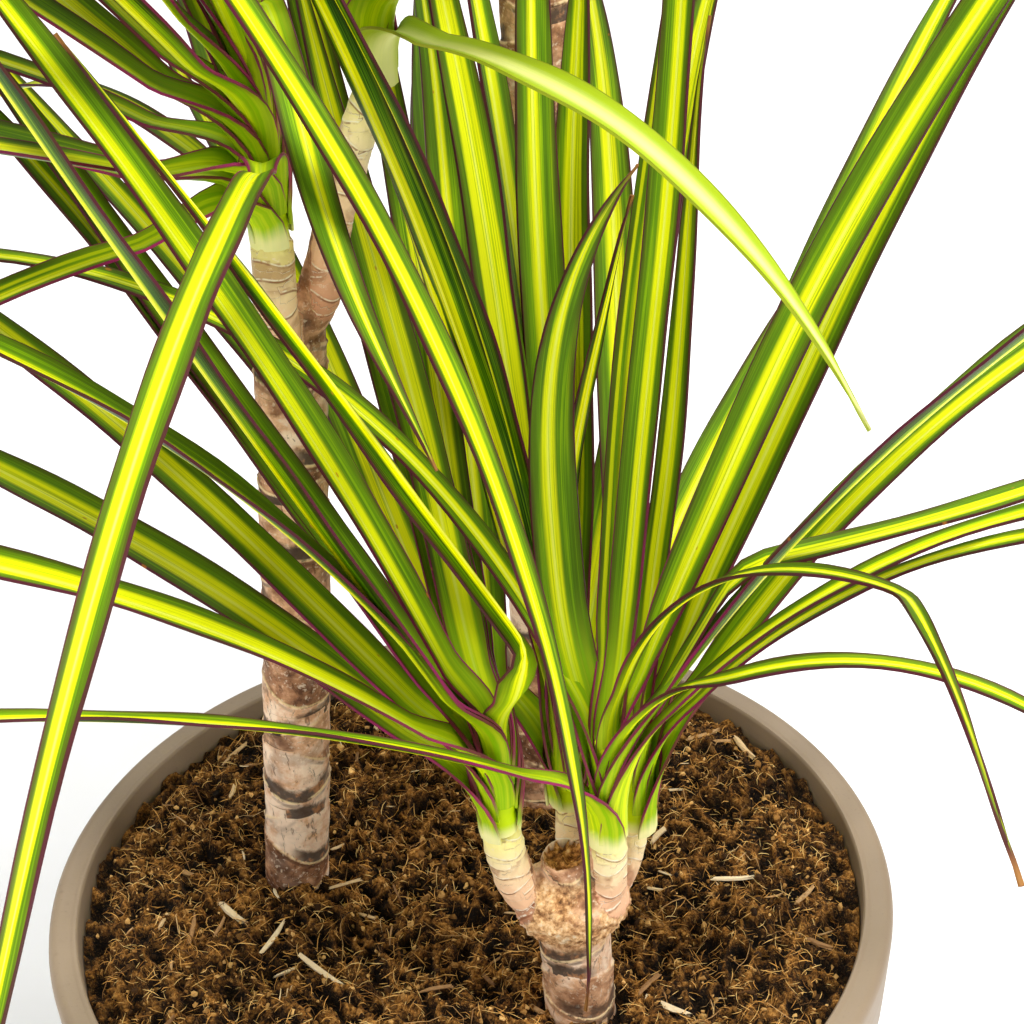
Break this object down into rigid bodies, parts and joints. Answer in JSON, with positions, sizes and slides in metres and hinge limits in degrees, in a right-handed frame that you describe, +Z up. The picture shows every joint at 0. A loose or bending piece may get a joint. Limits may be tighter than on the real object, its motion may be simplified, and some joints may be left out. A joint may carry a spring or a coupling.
{
  "type": "potted dracaena",
  "caption": "Potted dracaena with sawn bare canes of stepped height, leafy side shoots of long arching striped strap leaves, and a round tapered pot filled with soil",
  "frame": {"origin": "centre of the pot's underside, on the floor", "axes": "+Z up along the pot's axis; the picture looks along +Y from the front and above, with the short cane in front, the middle cane to the left (-X) and the tall cane behind (+Y)"},
  "size_m": [0.7546, 0.7514, 1.0622],
  "materials": {
    "pot_plastic": "taupe moulded plastic, slightly glossy",
    "soil": "dark brown peat and coir with fibres and bark chips, loose and matt",
    "bark": "tan ringed cane bark with dark leaf scars, matt",
    "leaf": "striped green and lime leaf with a thin purple margin, satin"
  },
  "bodies": {
    "root": {"pot": "pot_plastic", "soil": "soil", "cane_short": "bark", "cane_middle": "bark", "cane_tall": "bark", "head_a": "leaf", "head_b": "leaf", "head_c": "leaf", "head_d": "leaf", "head_e": "leaf", "head_f": "leaf", "head_g": "leaf", "head_h": "leaf", "head_i": "leaf"}
  },
  "joints": []
}
